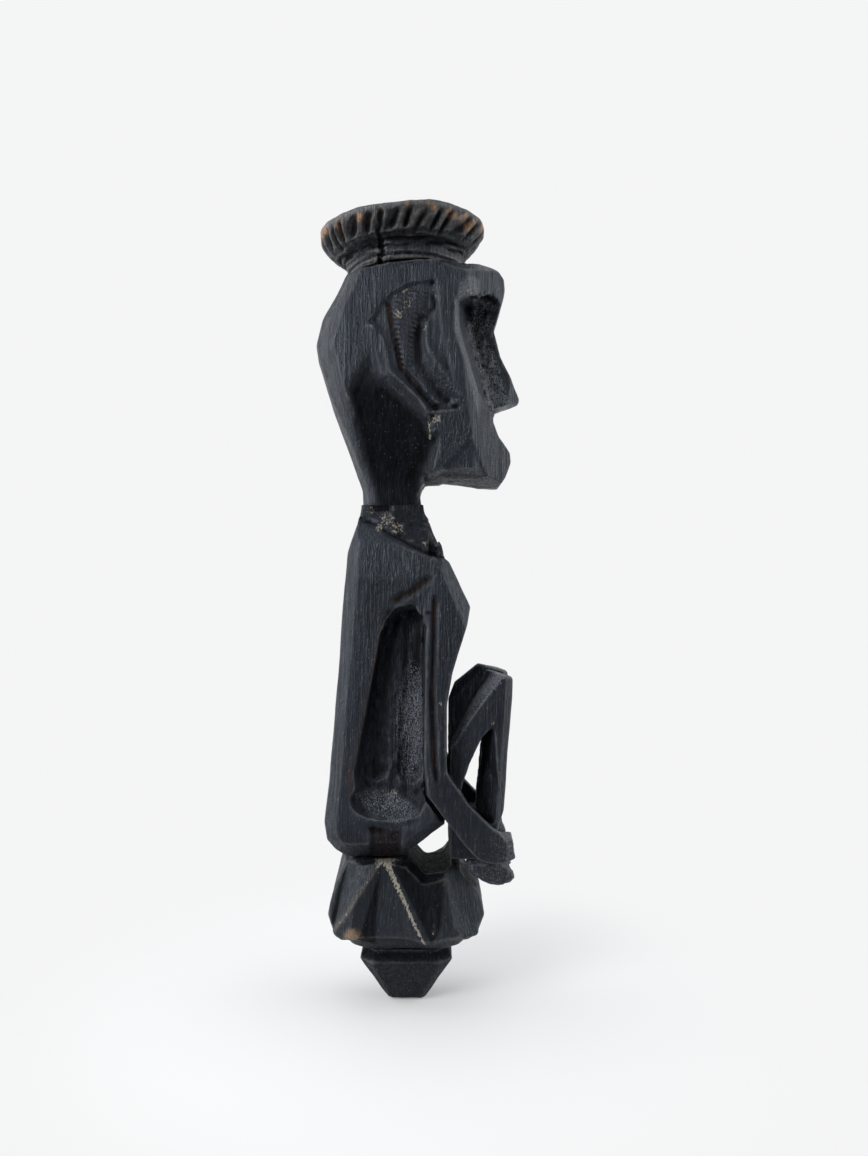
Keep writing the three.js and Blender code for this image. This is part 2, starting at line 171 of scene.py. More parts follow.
class Carving:
    """A member's wood as distances to its surface on a grid: negative inside the wood."""

    BAND = 3.0

    def __init__(self, node, voxel):
        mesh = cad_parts[node].data
        mesh.calc_loop_triangles()
        points = np.empty(len(mesh.vertices) * 3, np.float32)
        mesh.vertices.foreach_get("co", points)
        faces = np.empty(len(mesh.loop_triangles) * 3, np.int32)
        mesh.loop_triangles.foreach_get("vertices", faces)
        grid = vdb.FloatGrid.createLevelSetFromPolygons(
            points.reshape(-1, 3) / MM,
            triangles=faces.reshape(-1, 3).astype(np.uint32),
            transform=vdb.createLinearTransform(voxelSize=voxel),
            halfWidth=self.BAND / voxel,
        )
        low, high = (np.array(corner) for corner in grid.evalActiveVoxelBoundingBox())
        self.low = low
        self.voxel = voxel
        self.distance = np.empty(high - low + 1, np.float32)
        grid.copyToArray(self.distance, ijk=tuple(int(v) for v in low))
        axes = [
            ((np.arange(n) + start) * voxel).astype(np.float32)
            for n, start in zip(self.distance.shape, low)
        ]
        self.x = axes[0][:, None, None]
        self.f = -axes[1][None, :, None]
        self.z = axes[2][None, None, :]
        self.side = np.abs(self.x)

    def sink(self, depth):
        """Moves the surface in by depth, which is an array or a number."""
        self.distance = self.distance + depth

    def keep(self, other, soft=0.3):
        """Keeps the wood where other is negative."""
        self.distance = smooth_max(self.distance, other, soft)

    def cut(self, other, soft=0.3):
        """Takes away the wood where other is negative."""
        self.distance = smooth_max(self.distance, -other, soft)

    def add(self, other, soft=0.3):
        """Adds wood where other is negative."""
        self.distance = -smooth_max(-self.distance, -other, soft)

    def capsule(self, a, b, radius, end_radius=None):
        """Distance to a rod from a to b, each (x, f, z), which may taper."""
        a = np.array(a, float)
        span = np.array(b, float) - a
        t = (self.x - a[0]) * span[0] + (self.f - a[1]) * span[1] + (self.z - a[2]) * span[2]
        t = np.clip(t / (span @ span), 0.0, 1.0)
        far = np.sqrt(
            (self.x - a[0] - t * span[0]) ** 2
            + (self.f - a[1] - t * span[1]) ** 2
            + (self.z - a[2] - t * span[2]) ** 2
        )
        end_radius = radius if end_radius is None else end_radius
        return far - (radius + (end_radius - radius) * t)

    def ball(self, centre, radii):
        """About the distance to an ellipsoid."""
        scaled = np.sqrt(
            ((self.x - centre[0]) / radii[0]) ** 2
            + ((self.f - centre[1]) / radii[1]) ** 2
            + ((self.z - centre[2]) / radii[2]) ** 2
        )
        return (scaled - 1.0) * min(radii)

    def edge_facet(self, side, inset, near, far):
        """Cuts a facet along a side-view edge. inset is the distance in from that edge, and the
        facet runs from near to far, each (half-width, inset)."""
        run = near[1] - far[1]
        rise = near[0] - far[0]
        beyond = ((side - near[0]) * run - (inset - near[1]) * rise) / math.hypot(run, rise)
        self.keep(beyond, 0.2)

    def reach(self, level, amount, up):
        """Carries the cross-section at height level on by amount, up or down, to close a gap."""
        at = int(round(level / self.voxel)) - int(self.low[2])
        steps = int(math.ceil(amount / self.voxel))
        for n in range(1, steps + 1):
            k = at + n if up else at - n
            self.distance[:, :, k] = np.minimum(self.distance[:, :, k], self.distance[:, :, at])

    def widen(self, toward, steps, where):
        """Grows the wood along x by a number of grid steps where the mask is true. toward is 1 for
        +x and -1 for -x."""
        for _ in range(steps):
            moved = np.roll(self.distance, toward, 0)
            self.distance = np.where(where, np.minimum(self.distance, moved), self.distance)

    def soften(self):
        """Rounds every edge by about a grid step."""
        for axis in range(3):
            ahead = np.roll(self.distance, 1, axis)
            behind = np.roll(self.distance, -1, axis)
            self.distance = 0.5 * self.distance + 0.25 * (ahead + behind)

    def surface(self):
        """The surface as (points in mm, quads)."""
        grid = vdb.FloatGrid(self.BAND)
        grid.copyFromArray(np.ascontiguousarray(self.distance, dtype=np.float32))
        points, _, quads = grid.convertToPolygons(isovalue=0.0, adaptivity=0.0)
        return (points.astype(np.float64) + self.low) * self.voxel, quads.astype(np.int64)


# ---- from carving to piece ----------------------------------------------------------------------

# What a vertex tells its material: worn edges and painted highlights, dirt and painted shade,
# rust-brown stain, bare wood, cream flecks and bluish sparkle painted on gritty grain, each from 0 to 1.
MASKS = ("wear_and_highlight", "grime_and_shade", "brown", "bare", "pale", "grit_sparkle")


class Skin:
    """The meshed surface of one member, with what its material needs at every vertex."""

    def __init__(self, points, quads):
        self.points = points
        self.quads = quads
        self.edges = self.unique_edges()
        self.measure()

    def unique_edges(self):
        q = self.quads
        pairs = np.concatenate([q[:, [0, 1]], q[:, [1, 2]], q[:, [2, 3]], q[:, [3, 0]]])
        return np.unique(np.sort(pairs, axis=1), axis=0)

    def measure(self):
        """Normals, pointing out of the wood."""
        p, q = self.points, self.quads
        across = np.cross(p[q[:, 2]] - p[q[:, 0]], p[q[:, 3]] - p[q[:, 1]])
        volume = (across * p[q].mean(axis=1)).sum()
        if volume < 0:
            self.quads = q[:, ::-1].copy()
            across = -across
        total = np.zeros_like(p)
        for corner in range(4):
            for axis in range(3):
                total[:, axis] += np.bincount(q[:, corner], across[:, axis], len(p))
        self.normals = total / np.maximum(np.linalg.norm(total, axis=1, keepdims=True), 1e-12)
        self.x = p[:, 0]
        self.f = -p[:, 1]
        self.z = p[:, 2]
        self.side = np.abs(self.x)
        self.places = np.stack([self.x, self.f, self.z], axis=1)

    def spread(self, values, times):
        """Averages values with their neighbours."""
        a, b = self.edges[:, 0], self.edges[:, 1]
        count = np.bincount(a, minlength=len(values)) + np.bincount(b, minlength=len(values))
        for _ in range(times):
            total = np.bincount(a, values[b], len(values)) + np.bincount(b, values[a], len(values))
            values = 0.5 * values + 0.5 * total / np.maximum(count, 1)
        return values

    def push(self, out):
        """Moves the surface along its normals by out."""
        self.points = self.points + self.normals * out[:, None]
        self.measure()

    def curvature(self):
        """Positive on ridges and negative in grooves, in 1/mm."""
        a, b = self.edges[:, 0], self.edges[:, 1]
        step_along = self.points[b] - self.points[a]
        turn = ((self.normals[b] - self.normals[a]) * step_along).sum(axis=1)
        turn = turn / np.maximum((step_along**2).sum(axis=1), 1e-9)
        n = len(self.points)
        total = np.bincount(a, turn, n) + np.bincount(b, turn, n)
        count = np.bincount(a, minlength=n) + np.bincount(b, minlength=n)
        return total / np.maximum(count, 1)


def tool_marks(skin, amount, seed):
    """Long knife facets, shallow gouge strokes and a little unevenness."""
    facets = scallops(skin.places / (4.6, 4.6, 15.0), seed)
    strokes = scallops(skin.places / (2.3, 2.3, 6.0), seed + 7)
    uneven = rough(skin.places / (7.0, 7.0, 18.0), seed + 11, 2)
    fine = rough(skin.places / (1.6, 1.6, 7.0), seed + 17, 2)
    height = 0.26 * (facets - 0.7) + 0.09 * (strokes - 0.7) + 0.12 * uneven + 0.03 * fine - 0.12
    return amount * height


def make_piece(name, carving, material, marks=1.0, seed=1, extra=None, paint=None):
    """Meshes a carving with its tool marks and attributes, and rides it on the body. extra gives
    more relief in mm, and paint adds to the masks."""
    carving.soften()
    skin = Skin(*carving.surface())
    out = tool_marks(skin, marks, seed)
    if extra is not None:
        out = out + extra(skin)
    skin.push(out)

    bend = skin.curvature()
    tight = skin.spread(bend, 1)
    wide = skin.spread(bend, 10)
    patchy = 0.5 + 0.5 * rough(skin.places / (5.0, 5.0, 9.0), seed + 3)
    masks = {label: np.zeros(len(skin.x)) for label in MASKS}
    masks["wear_and_highlight"] += step(0.16, 0.85, tight) * np.clip(0.35 + 0.9 * patchy, 0.0, 1.0)
    # Hollows and creases are darkened: painted shade.
    masks["grime_and_shade"] += np.clip(step(-0.08, -0.5, wide) + 0.5 * step(-0.3, -1.0, tight), 0.0, 1.0)
    if paint is not None:
        paint(skin, masks)

    mesh = bpy.data.meshes.new(name)
    mesh.vertices.add(len(skin.points))
    mesh.vertices.foreach_set("co", (skin.points * MM).astype(np.float32).ravel())
    mesh.loops.add(skin.quads.size)
    mesh.loops.foreach_set("vertex_index", skin.quads.astype(np.int32).ravel())
    mesh.polygons.add(len(skin.quads))
    mesh.polygons.foreach_set("loop_start", np.arange(0, skin.quads.size, 4, dtype=np.int32))
    mesh.update(calc_edges=True)
    mesh.shade_smooth()
    for label, values in masks.items():
        layer = mesh.attributes.new(label, "FLOAT", "POINT")
        layer.data.foreach_set("value", np.clip(values, 0.0, 1.0).astype(np.float32))
    mesh.materials.append(material)
    piece = bpy.data.objects.new(name, mesh)
    bpy.context.scene.collection.objects.link(piece)
    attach(piece, "root")
    return piece


def dab(skin, f, z, radius, x=-12.0, reach=6.0):
    """1 at a spot on the figure's right side, fading out over radius, at about that x."""
    spot = np.hypot(skin.f - f, skin.z - z)
    return (1.0 - step(0.3 * radius, radius, spot)) * (np.abs(skin.x - x) < reach)


def stroke(wood, points, width):
    """1 along a side-view line, fading out over width. wood is a Carving or a Skin."""
    return bump(line(wood.f, wood.z, points), width)


def patch(wood, points, outside, inside):
    """1 within a side-view outline, fading out between the signed distances inside and outside."""
    return step(outside, inside, area(wood.f, wood.z, points))


# ---- the stained wood ---------------------------------------------------------------------------


def joined(nodes, links, kind, first, second):
    """A Math node fed by two values, each a number or another node's output."""
    made = nodes.new("ShaderNodeMath")
    made.operation = kind
    for socket, value in zip(made.inputs, (first, second)):
        if isinstance(value, (int, float)):
            socket.default_value = value
        else:
            links.new(value, socket)
    return made.outputs["Value"]


def ranged(nodes, links, value, low, high, bottom, top):
    """A Map Range node's output: bottom up to low, top from high on, smooth between."""
    made = nodes.new("ShaderNodeMapRange")
    made.interpolation_type = "SMOOTHSTEP"
    for label, number in zip(("From Min", "From Max", "To Min", "To Max"), (low, high, bottom, top)):
        made.inputs[label].default_value = number
    links.new(value, made.inputs["Value"])
    return made.outputs["Result"]


# The first colour is near black, for dirt and for painted shade.
GRIME_AND_SHADE = (0.0035, 0.003, 0.0038)
DRY_PORE = (0.11, 0.1, 0.09)
RUST_DARK = (0.022, 0.011, 0.006)
RUST = (0.075, 0.036, 0.017)
CREAM = (0.42, 0.38, 0.31)
SPECK = (0.24, 0.23, 0.21)
# Bluish sparkle painted on gritty grain: a painted highlight.
SPARKLE_HIGHLIGHT = (0.15, 0.162, 0.182)
BLUE_GLOSS = (0.76, 0.87, 1.0, 1.0)


def shade(colour, amount):
    """A darker or lighter colour of the same hue."""
    return tuple(channel * amount for channel in colour)


def stained_wood(name, stain, edge_and_highlight_colour, wood=(0.30, 0.185, 0.10), seed=0.0):
    """Black stain over open-grained wood whose grain runs up the figure. stain is the colour of
    flat skin, the next colour that of worn edges and of painted highlights, and wood that of bare spots."""
    material = bpy.data.materials.new(name)
    material.use_nodes = True
    nodes = material.node_tree.nodes
    links = material.node_tree.links
    shader = nodes["Principled BSDF"]

    def node(kind, **settings):
        made = nodes.new(kind)
        for key, value in settings.items():
            if key in made.inputs:
                made.inputs[key].default_value = value
            else:
                setattr(made, key, value)
        return made

    def mapped(scale):
        mapping = node("ShaderNodeMapping")
        mapping.inputs["Scale"].default_value = scale
        mapping.inputs["Location"].default_value = (seed, seed * 0.7, seed * 1.3)
        links.new(coordinates.outputs["Object"], mapping.inputs["Vector"])
        return mapping.outputs["Vector"]

    def texture(scale, detail=3.0, roughness=0.55, distortion=0.0):
        made = node("ShaderNodeTexNoise", Detail=detail, Roughness=roughness, Distortion=distortion)
        made.inputs["Scale"].default_value = 1.0
        links.new(mapped(scale), made.inputs["Vector"])
        return made.outputs["Fac"]

    def ramp(value, low, high, bottom=0.0, top=1.0):
        return ranged(nodes, links, value, low, high, bottom, top)

    def math_node(kind, a, b):
        return joined(nodes, links, kind, a, b)

    def mix(factor, low, high):
        made = node("ShaderNodeMix", data_type="RGBA")
        links.new(factor, made.inputs["Factor"])
        for label, value in (("A", low), ("B", high)):
            socket = next(s for s in made.inputs if s.name == label and s.type == "RGBA")
            if isinstance(value, tuple):
                socket.default_value = (*value, 1.0)
            else:
                links.new(value, socket)
        return next(s for s in made.outputs if s.type == "RGBA")

    def attribute(label):
        return node("ShaderNodeAttribute", attribute_name=label).outputs["Fac"]

    coordinates = node("ShaderNodeTexCoord")
    streaks = texture((1500.0, 1500.0, 60.0), 4.0, 0.6, 0.3)
    pores = texture((3200.0, 3200.0, 260.0), 2.0, 0.5)
    clouds = texture((130.0, 130.0, 55.0), 3.0)
    specks = texture((2300.0, 2300.0, 1500.0), 1.0)
    fine = texture((2400.0, 2400.0, 1500.0), 2.0, 0.6)
    dust = texture((420.0, 420.0, 300.0), 4.0, 0.7)
    grit = texture((3500.0, 3500.0, 2700.0), 1.0)
    wear_and_highlight, grime_and_shade, brown, bare, pale, grit_sparkle = [attribute(label) for label in MASKS]

    colour = mix(ramp(streaks, 0.38, 0.66), shade(stain, 0.35), shade(stain, 1.15))
    colour = mix(ramp(clouds, 0.45, 0.75, 0.0, 0.55), colour, shade(stain, 1.7))
    open_pores = math_node("MULTIPLY", ramp(pores, 0.6, 0.7), ramp(dust, 0.42, 0.6))
    colour = mix(math_node("MULTIPLY", open_pores, 0.5), colour, DRY_PORE)
    # Dirt and painted shade darken the stain towards near black.
    grimy_and_shaded = math_node("MULTIPLY", grime_and_shade, ramp(dust, 0.3, 0.6, 0.35, 0.9))
    colour = mix(grimy_and_shaded, colour, GRIME_AND_SHADE)
    # Worn edges, and painted highlights on rims and edges, take the lighter edge colour.
    worn_and_lit = math_node("MULTIPLY", wear_and_highlight, ramp(dust, 0.3, 0.65, 0.35, 1.0))
    colour = mix(worn_and_lit, colour, edge_and_highlight_colour)
    rusty = mix(ramp(streaks, 0.35, 0.65), RUST_DARK, RUST)
    colour = mix(math_node("MULTIPLY", brown, ramp(dust, 0.35, 0.6, 0.3, 1.0)), colour, rusty)
    fresh = mix(ramp(streaks, 0.3, 0.7), shade(wood, 0.6), wood)
    colour = mix(math_node("MULTIPLY", bare, ramp(dust, 0.38, 0.55)), colour, fresh)
    flecks = ramp(math_node("ADD", fine, math_node("MULTIPLY", pale, 0.34)), 0.66, 0.86)
    flecks = math_node("MULTIPLY", flecks, ramp(pale, 0.02, 0.2))
    colour = mix(math_node("MULTIPLY", flecks, 0.85), colour, CREAM)
    colour = mix(ramp(specks, 0.71, 0.79, 0.0, 0.5), colour, SPECK)
    # Bluish sparkle is painted where the grain is broken and gritty: a painted highlight.
    sparkling = ramp(math_node("ADD", grit, math_node("MULTIPLY", grit_sparkle, 0.16)), 0.57, 0.67)
    sparkling = math_node("MULTIPLY", sparkling, ramp(grit_sparkle, 0.02, 0.3))
    colour = mix(sparkling, colour, SPARKLE_HIGHLIGHT)
    links.new(colour, shader.inputs["Base Color"])

    shader.inputs["Specular Tint"].default_value = BLUE_GLOSS
    gloss = ramp(streaks, 0.35, 0.65, 0.52, 0.3)
    gloss = math_node("ADD", gloss, ramp(clouds, 0.4, 0.7, 0.0, 0.1))
    gloss = math_node("ADD", gloss, math_node("MULTIPLY", grime_and_shade, 0.25))
    gloss = math_node("ADD", gloss, math_node("MULTIPLY", pale, 0.4))
    links.new(gloss, shader.inputs["Roughness"])
    shine = math_node("SUBTRACT", 0.5, math_node("MULTIPLY", grime_and_shade, 0.4))
    links.new(shine, shader.inputs["Specular IOR Level"])

    relief = math_node("MULTIPLY", streaks, 0.6)
    relief = math_node("ADD", relief, math_node("MULTIPLY", pores, 0.35))
    relief = math_node("ADD", relief, math_node("MULTIPLY", dust, 0.35))
    relief = math_node("ADD", relief, math_node("MULTIPLY", fine, 0.3))
    bumped = node("ShaderNodeBump", Strength=1.0, Distance=0.0005)
    links.new(relief, bumped.inputs["Height"])
    links.new(bumped.outputs["Normal"], shader.inputs["Normal"])
    return material


# The second colour of each is that of worn edges and of painted highlights.
body_wood = stained_wood("black_stained_wood", (0.0135, 0.016, 0.0225), (0.095, 0.099, 0.108))
hat_wood = stained_wood(
    "hat_stained_wood", (0.018, 0.018, 0.0195), (0.14, 0.13, 0.118), (0.46, 0.24, 0.095), 3.1
)
stool_wood = stained_wood(
    "stool_stained_wood", (0.009, 0.0108, 0.0155), (0.088, 0.086, 0.084), (0.42, 0.28, 0.15), 5.7
)


# ---- the headdress ------------------------------------------------------------------------------

HAT_SEAT = 179.2
HAT_TILT = 0.07
HAT_FORWARD = -0.4
HAT_NOTCHES = 30
# The rough edge is kept inside this radius and below this height.
HAT_REACH = 20.6
HAT_TOP = 191.3
# Bare spots on the rim, as (f, z, radius), and the one on its rearmost corner.
TAN_SPOTS = [
    (1.4, 189.8, 1.7), (6.2, 189.6, 1.7), (10.8, 188.8, 1.9), (14.8, 187.6, 1.6), (-10.8, 187.4, 1.5),
]
TAN_CORNER = (-20.4, 188.2)


def hat_frame(x, f, z):
    """Angle round the headdress, radius and height above its seat, in its own tilted frame."""
    forward = (f - HAT_FORWARD) * math.cos(HAT_TILT) + (z - HAT_SEAT) * math.sin(HAT_TILT)
    up = (z - HAT_SEAT) * math.cos(HAT_TILT) - (f - HAT_FORWARD) * math.sin(HAT_TILT)
    return np.arctan2(x, forward), np.hypot(x, forward), up


def notch(angle, up):
    """Where a point lies in the ring of slanting notches: notch number, and -1 to 1 across it."""
    wobble = 0.3 * np.sin(5.0 * angle) + 0.16 * np.sin(13.0 * angle + 1.0)
    turns = angle / (2.0 * math.pi) * HAT_NOTCHES - 0.16 * up + wobble
    number = np.floor(turns)
    return number.astype(np.int64), 2.0 * (turns - number) - 1.0


def off_hat_crack(f, z):
    """How far in front of the headdress's drying crack a point lies. The crack wanders."""
    return f + 5.8 + 0.35 * np.sin(z * 1.1) + 0.2 * np.sin(z * 2.7)


def carve_headdress():
    wood = Carving("headdress", 0.34)
    angle, radius, up = hat_frame(wood.x, wood.f, wood.z)
    number, across = notch(angle, up)
    chance = lattice(number, 0, 0, 5)
    band = step(3.6 + 1.6 * chance, 6.0 + chance, up) * (1.0 - step(8.6, 10.4, up))
    deep = 0.65 + 0.75 * lattice(number, 1, 0, 6)
    cut = deep * (1.0 - step(0.05, 0.65, np.abs(across))) + 0.4 * chance
    wood.sink(cut * band * step(15.0, 18.0, radius))
    wood.sink(0.9 * bump(up - 3.4, 2.4) * step(12.0, 13.5, radius))
    uneven = 0.35 * np.sin(3.0 * angle + 0.6) + 0.25 * np.sin(7.0 * angle)
    wood.sink((uneven * 0.5 - 0.05) * step(12.0, 15.0, radius))
    wood.sink(-0.2)
    wood.keep(radius - HAT_REACH, 0.2)
    wood.keep(wood.z - HAT_TOP, 0.1)
    # The drying crack runs down the right side.
    wood.sink(1.2 * bump(off_hat_crack(wood.f, wood.z), 0.6) * step(9.8, 8.8, up) * (wood.x < 0))
    return wood


def headdress_extra(skin):
    angle, radius, up = hat_frame(skin.x, skin.f, skin.z)
    ring = np.stack([angle * 3.0, up * 2.2, radius * 0.2], axis=1)
    scratches = rough(ring, 41, 2) * bump(up - 3.4, 3.2) * 0.45
    seam = 0.5 * bump(up - 0.9 - 0.5 * np.sin(2.3 * angle), 0.5)
    return scratches - seam * (radius > 12.0)


def headdress_paint(skin, masks):
    angle, radius, up = hat_frame(skin.x, skin.f, skin.z)
    number, across = notch(angle, up)
    chance = lattice(number, 0, 0, 8)
    ridge = step(0.1, 0.5, np.abs(across)) * (radius > 16.0)
    masks["brown"] += 0.35 * ridge * step(5.0, 8.0, up) * step(0.3, 0.5, chance)
    worn = step(0.55, 0.7, chance) * bump(up - 9.3, 2.4) * step(0.3, 0.7, np.abs(across))
    masks["bare"] += 0.9 * ridge * worn
    # Painted shade in the notches between the ridges and in the groove above the seat.
    masks["grime_and_shade"] += (1.0 - ridge) * bump(up - 7.0, 3.4) * (radius > 14.0)
    masks["grime_and_shade"] += 0.55 * bump(up - 3.8, 2.6)
    masks["grime_and_shade"] += bump(off_hat_crack(skin.f, skin.z), 0.5) * (skin.x < -8.0)
    # The top rim is painted lighter, with edge colour and sparkle: a painted highlight.
    rim = bump(up - 10.6, 1.3) * (radius > 17.5)
    masks["wear_and_highlight"] += 0.8 * rim
    masks["grit_sparkle"] += 0.35 * rim
    corner = np.hypot(skin.f - TAN_CORNER[0], skin.z - TAN_CORNER[1])
    masks["bare"] += 0.95 * (1.0 - step(1.0, 2.6, corner))
    for f, z, size in TAN_SPOTS:
        masks["bare"] += 0.9 * dab(skin, f, z, size, x=-17.0, reach=8.0) * (0.25 + 0.75 * ridge)


# ---- the head -----------------------------------------------------------------------------------

SKULL_BACK = [
    (-10.5, 120), (-11.2, 125.4), (-14.7, 135.2), (-18.6, 146), (-21.8, 156.6),
    (-22.4, 160.6), (-20.9, 166.6), (-17.2, 173.4), (-14.9, 178), (-14.3, 183),
]
EAR_ARC = [(-7.9, 164.2), (-5.0, 168.6), (-2.2, 170.9), (1.1, 172.6), (6.6, 173.6)]
FRONT_WALL = [(6.6, 173.4), (7.0, 168), (5.0, 165)]
HATCHED = [
    (-3.4, 168.5), (1.5, 171.6), (5.6, 171.2), (4.4, 165),
    (1.9, 160.2), (1.7, 154.4), (-0.6, 152.6), (-2.3, 160),
]
OUTER_SLOT = [
    (-4.0, 168.2), (-3.3, 163.6), (-2.2, 158.4), (-0.9, 153.2), (2.6, 149.2), (5.6, 145.6), (7.2, 144.2),
]
CREASE = [(7.2, 144.2), (12.3, 144.4)]
VALLEY = [(3.6, 164.6), (2.9, 159.6), (3.4, 154.6), (7.0, 148.6), (9.4, 145.8)]
HELIX = [
    (-7.6, 163.2), (-5.6, 160.2), (-4.6, 156.4), (-3.6, 152.2), (-0.4, 149.4), (3.0, 146), (5.0, 143.4),
]
LEAF = [(4.6, 163.8), (5.0, 158.6), (7.6, 154.2), (10.6, 150.2), (12.2, 147)]
EYE_CORNER = [(16.4, 172), (14.8, 167), (14.8, 162.5), (16.8, 157), (19.1, 148), (20.7, 142.9)]
FACE_RIM = [
    (16.0, 172), (14.8, 167), (14.8, 162.5), (16.8, 157),
    (19.1, 148), (20.7, 142.9), (22.9, 138), (24.4, 134.6),
]
BEHIND_EAR = [
    (-8.4, 160), (-6.6, 157), (-5.2, 151.6), (-1.6, 148.0), (2.4, 144.4), (5.2, 141.8), (6.6, 138.6),
    (8.8, 137.6), (4.4, 126.8), (3.4, 118), (-7.8, 118), (-8.6, 126), (-12.6, 140), (-14.2, 148),
]
CHEEK_HOLLOW = EAR_ARC + [(9.6, 158), (13, 146), (4, 142), (-5, 152)]
JAW_HOLLOW = [(7, 127.5), (15.6, 136.5), (19.4, 128.4), (16, 126)]
NOSE = [(18.6, 160), (21.5, 160), (25.5, 145), (19.5, 146)]

# Ridges and cuts of the ear, as (line, height or depth, width).
EAR_RIDGES = [(HELIX, 0.75, 1.5), (HELIX[3:], 0.5, 1.9), (LEAF, 0.6, 1.6)]
EAR_CUTS = [
    (OUTER_SLOT, 0.8, 0.8), (VALLEY, 0.8, 2.1), (CREASE, 0.8, 0.8),
    (EAR_ARC, 0.6, 0.8), (FRONT_WALL, 0.5, 0.8),
]

# Cream chips on the right of the head: lines as (points, width, strength) and spots as (f, z, radius,
# strength). The eye's own lie deeper in.
CHIPPED_LINES = [
    ([(-2.4, 170.3), (0.7, 171.9)], 0.6, 0.75),
    ([(6.7, 173), (7.4, 168.4)], 0.45, 0.5),
    ([(5.5, 141.2), (5.8, 137)], 0.5, 0.9),
    ([(-4.7, 158.4), (-4.1, 154.4)], 0.5, 0.45),
]
CHIPPED_SPOTS = [
    (-1.6, 165.8, 1.5, 0.7), (0.6, 168.4, 1.8, 0.4), (4.7, 162.7, 0.8, 0.75),
    (7.4, 141.4, 1.7, 0.85), (15.2, 171.6, 1.1, 0.85),
]
EYE_CHIPS = [(18.6, 164.8, 1.2), (19.4, 162.0, 1.2), (20.6, 160.4, 0.9), (22.6, 147.4, 0.8)]


def carve_head():
    wood = Carving("head", 0.36)
    inset = line(wood.f, wood.z, SKULL_BACK)
    widest = 7.6 + 6.9 * step(122.0, 152.0, wood.z)
    scaled = wood.side * 14.5 / widest
    narrow = inset * (1.0 - 0.35 * step(150.0, 132.0, wood.z))
    wood.edge_facet(scaled, narrow, (14.7, 4.6), (10.2, 0.4))
    wood.edge_facet(scaled, narrow, (11.6, 1.2), (2.0, -0.4))
    wood.edge_facet(wood.side, line(wood.f, wood.z, FACE_RIM), (14.6, 3.3), (12.6, 0.0))
    cheek = step(9.5, 11.5, wood.side)
    wood.sink(0.09 * np.maximum(-4.0 - wood.f, 0.0) * step(8.0, 10.0, wood.side))
    # Behind and below the ear the side falls away towards the neck.
    between = step(163.0, 146.0, wood.z) * step(121.0, 127.0, wood.z)
    wood.sink(1.9 * patch(wood, BEHIND_EAR, 0.3, -3.0) * step(5.0, 7.0, wood.side) * between)
    wood.sink(0.6 * patch(wood, CHEEK_HOLLOW, 0.2, -0.8) * cheek)
    wood.sink(-0.45 * patch(wood, HATCHED, 0.3, -1.2) * cheek)
    for points, height, width in EAR_RIDGES:
        wood.sink(-height * stroke(wood, points, width) * cheek)
    for points, depth, width in EAR_CUTS:
        wood.sink(depth * stroke(wood, points, width) * cheek)
    wood.sink(0.4 * patch(wood, JAW_HOLLOW, 0.3, -0.5) * step(7.0, 9.0, wood.side))
    # Eye sockets, and the deep corner between the rim of the face and the nose.
    for side in (-1, 1):
        wood.cut(wood.ball((side * 7.6, 19.6, 166.6), (3.8, 4.6, 5.6)), 0.4)
        wood.cut(wood.capsule((side * 8.6, 16.6, 163), (side * 7.6, 20.6, 148), 1.9, 1.5), 0.3)
    # The underside of the jaw rises towards the left side.
    underside = 0.13 * (wood.x + 14.5) - 0.12 * (wood.f - 8.0) - (wood.z - 125.2)
    wood.keep(underside - 3.0 * np.maximum(8.5 - wood.f, 0.0), 0.2)
    wood.reach(121.2, 1.9, up=False)
    return wood


def head_extra(skin):
    hatched = patch(skin, HATCHED, 0.6, -0.6) * (skin.side > 9.0)
    hatch = np.sin((skin.f * 0.5 + skin.z) * 5.6 + 1.6 * np.sin(skin.f * 1.7))
    hollow = patch(skin, EYE_CORNER + [(26, 142), (26, 174)], 0.4, -0.8)
    hollow = hollow * step(13.4, 11.4, skin.side) * step(1.5, 3.6, skin.side)
    crumbs = rough(skin.places / (1.1, 1.1, 1.5), 63) * 0.5 * hollow * step(24.0, 20.0, skin.f)
    crumbs = crumbs + 0.26 * hatch * hatched
    lobe = np.hypot(skin.f - 6.6, skin.z - 141)
    crumbs = crumbs + rough(skin.places / 1.1, 64) * 0.4 * step(3.4, 1.0, lobe) * (skin.side > 9.0)
    seam = step(177.0, 178.6, skin.z) * (skin.f < 15.0)
    return crumbs + 0.25 * rough(skin.places / (1.6, 1.6, 0.9), 66) * seam


